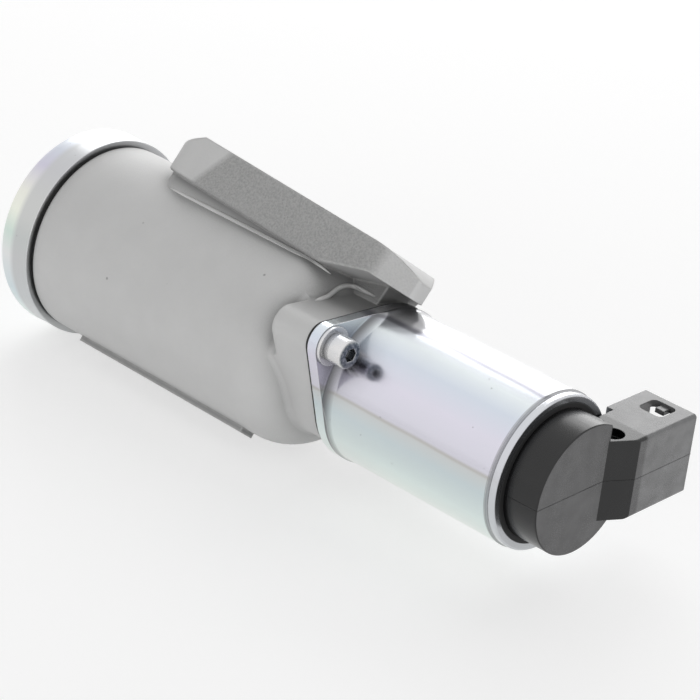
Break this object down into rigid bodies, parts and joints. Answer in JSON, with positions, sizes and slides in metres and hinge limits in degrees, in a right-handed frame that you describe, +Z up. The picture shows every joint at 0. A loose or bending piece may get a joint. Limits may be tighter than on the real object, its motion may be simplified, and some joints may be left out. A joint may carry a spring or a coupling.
{
  "type": "idle air control valve",
  "caption": "Idle air control valve: cast body with ported mounting flange, steel end cap, plated solenoid can and a side-facing plug socket.",
  "frame": {"origin": "centre of the mounting face, between its two tapped holes", "axes": "+X along the valve axis towards the plug end, +Y the way the plug points, +Z up"},
  "size_m": [0.1742, 0.061, 0.0642],
  "materials": {
    "cast_body": "as-cast satin",
    "cap_plate": "zinc plated, soft shine",
    "can_plate": "bright nickel plate",
    "screw_steel": "zinc plated",
    "connector_plastic": "fine moulded texture",
    "seal_rubber": "matt",
    "magnet_iron": "machined",
    "machined_steel": "ground",
    "machined_aluminium": "turned",
    "bush_bronze": "sintered, dull",
    "bobbin_plastic": "natural",
    "coil_copper": "enamelled wire",
    "terminal_tin": "tin plated"
  },
  "bodies": {
    "housing": {"valve_housing": "cast_body", "end_cap": "cap_plate", "solenoid_can": "can_plate", "screw_upper": "screw_steel", "screw_lower": "screw_steel", "washer_upper": "screw_steel", "washer_lower": "screw_steel", "lock_washer_upper": "screw_steel", "lock_washer_lower": "screw_steel", "connector_cap": "connector_plastic", "end_seal": "seal_rubber", "cap_seal": "seal_rubber", "flange_gasket": "seal_rubber", "pole_core": "magnet_iron", "yoke_plate": "magnet_iron", "return_spring": "machined_steel", "spring_carrier": "machined_steel", "guide_sleeve": "machined_steel", "seat_ring": "machined_aluminium", "front_bush": "bush_bronze", "rear_bush": "bush_bronze", "stop_washer": "bush_bronze", "coil_bobbin": "bobbin_plastic", "coil_winding": "coil_copper", "terminal_upper": "terminal_tin", "terminal_lower": "terminal_tin"},
    "plunger": {"armature": "magnet_iron", "valve_stem": "machined_steel", "valve_disc": "machined_aluminium", "disc_face": "seal_rubber", "disc_clip": "machined_steel"}
  },
  "joints": [
    {"name": "valve_slide", "type": "slide", "parent": "housing", "child": "plunger", "axis": [-1, 0, 0], "range_m": [0, 0.0032], "stiffness_N_per_m": 900, "springref_m": -0.006, "deforming": ["return_spring"]}
  ]
}
